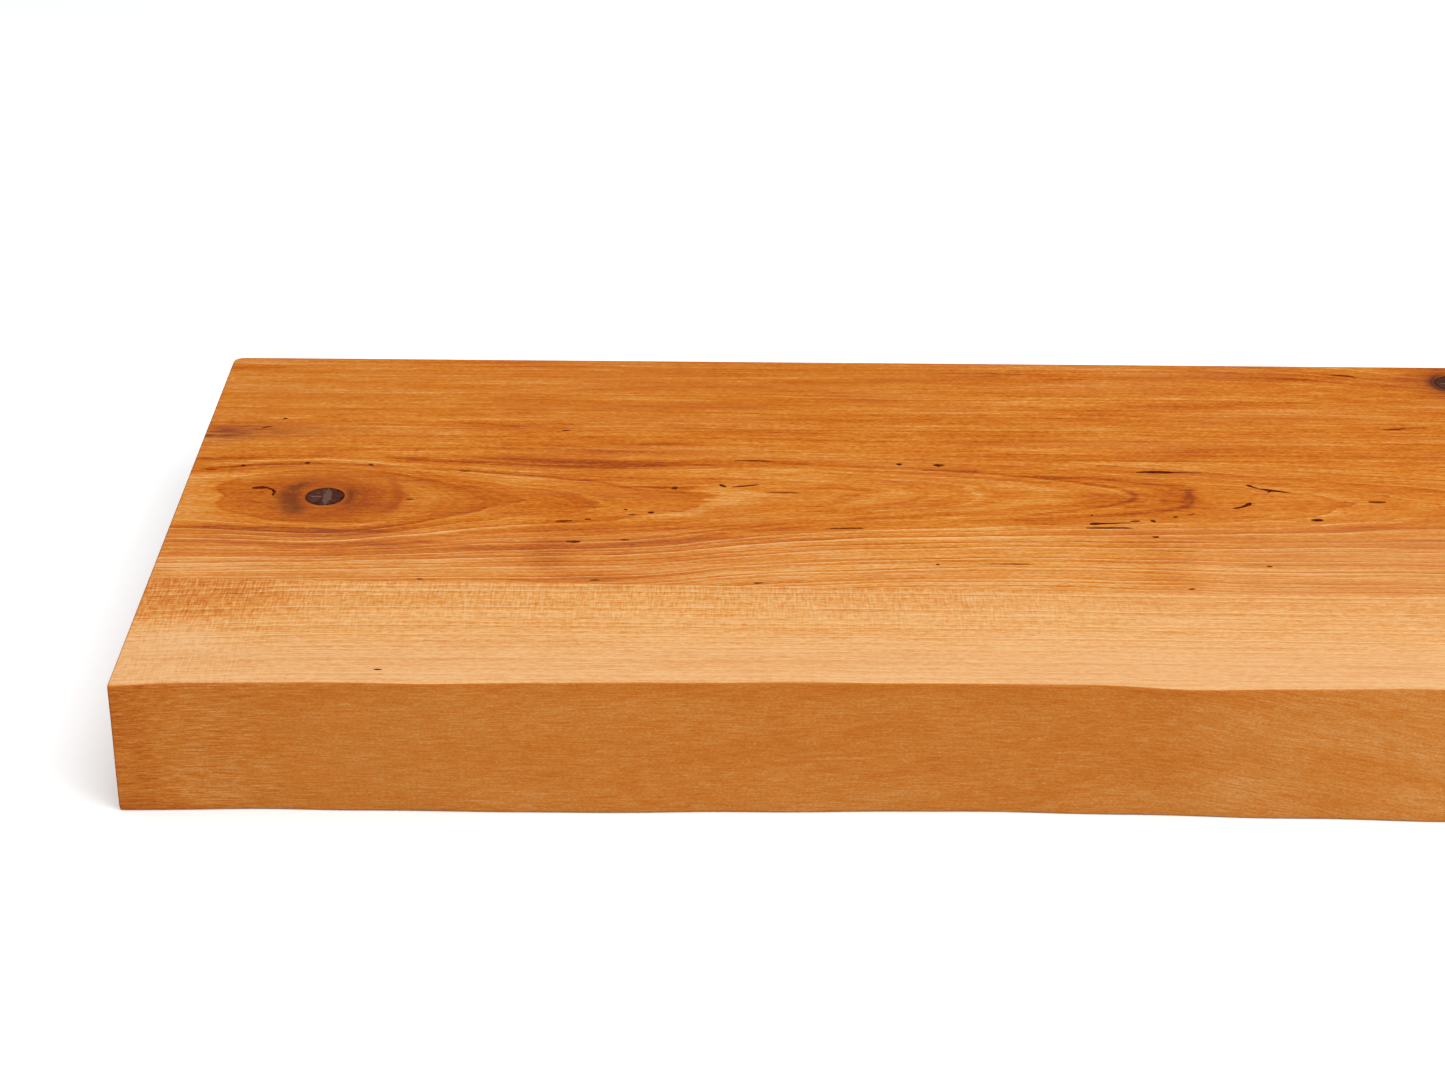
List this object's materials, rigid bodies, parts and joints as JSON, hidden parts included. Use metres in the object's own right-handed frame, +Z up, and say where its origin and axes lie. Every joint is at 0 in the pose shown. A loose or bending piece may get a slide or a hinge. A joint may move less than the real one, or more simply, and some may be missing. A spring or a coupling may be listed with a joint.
{
  "type": "butcher block table top",
  "caption": "Thick live-edge wooden table top of wide edge-glued boards, with loose tenons in the joints, dead knots and threaded inserts for leg plates.",
  "frame": {"origin": "middle of the underside, at the centre of the bounding box's bottom face", "axes": "+X along the length, with the knotted end at -X; +Y from the live front edge to the straight back edge; +Z up, out of the show face"},
  "size_m": [0.914, 0.283, 0.051],
  "materials": {
    "pale_board_wood": "oiled satin, pale cherry sapwood",
    "arched_board_wood": "oiled satin, orange-brown cherry heartwood",
    "straight_board_wood": "oiled satin, orange-brown cherry heartwood",
    "knot_wood": "oiled satin, dark dead knot",
    "tenon_beech": "unfinished beech",
    "insert_brass": "turned brass"
  },
  "bodies": {
    "root": {"front_board": "pale_board_wood", "middle_board": "arched_board_wood", "back_board": "straight_board_wood", "left_knot": "knot_wood", "back_knot": "knot_wood", "front_tenon_1": "tenon_beech", "front_tenon_2": "tenon_beech", "front_tenon_3": "tenon_beech", "front_tenon_4": "tenon_beech", "back_tenon_1": "tenon_beech", "back_tenon_2": "tenon_beech", "back_tenon_3": "tenon_beech", "back_tenon_4": "tenon_beech", "left_insert_1": "insert_brass", "left_insert_2": "insert_brass", "left_insert_3": "insert_brass", "left_insert_4": "insert_brass", "right_insert_1": "insert_brass", "right_insert_2": "insert_brass", "right_insert_3": "insert_brass", "right_insert_4": "insert_brass"}
  },
  "joints": []
}
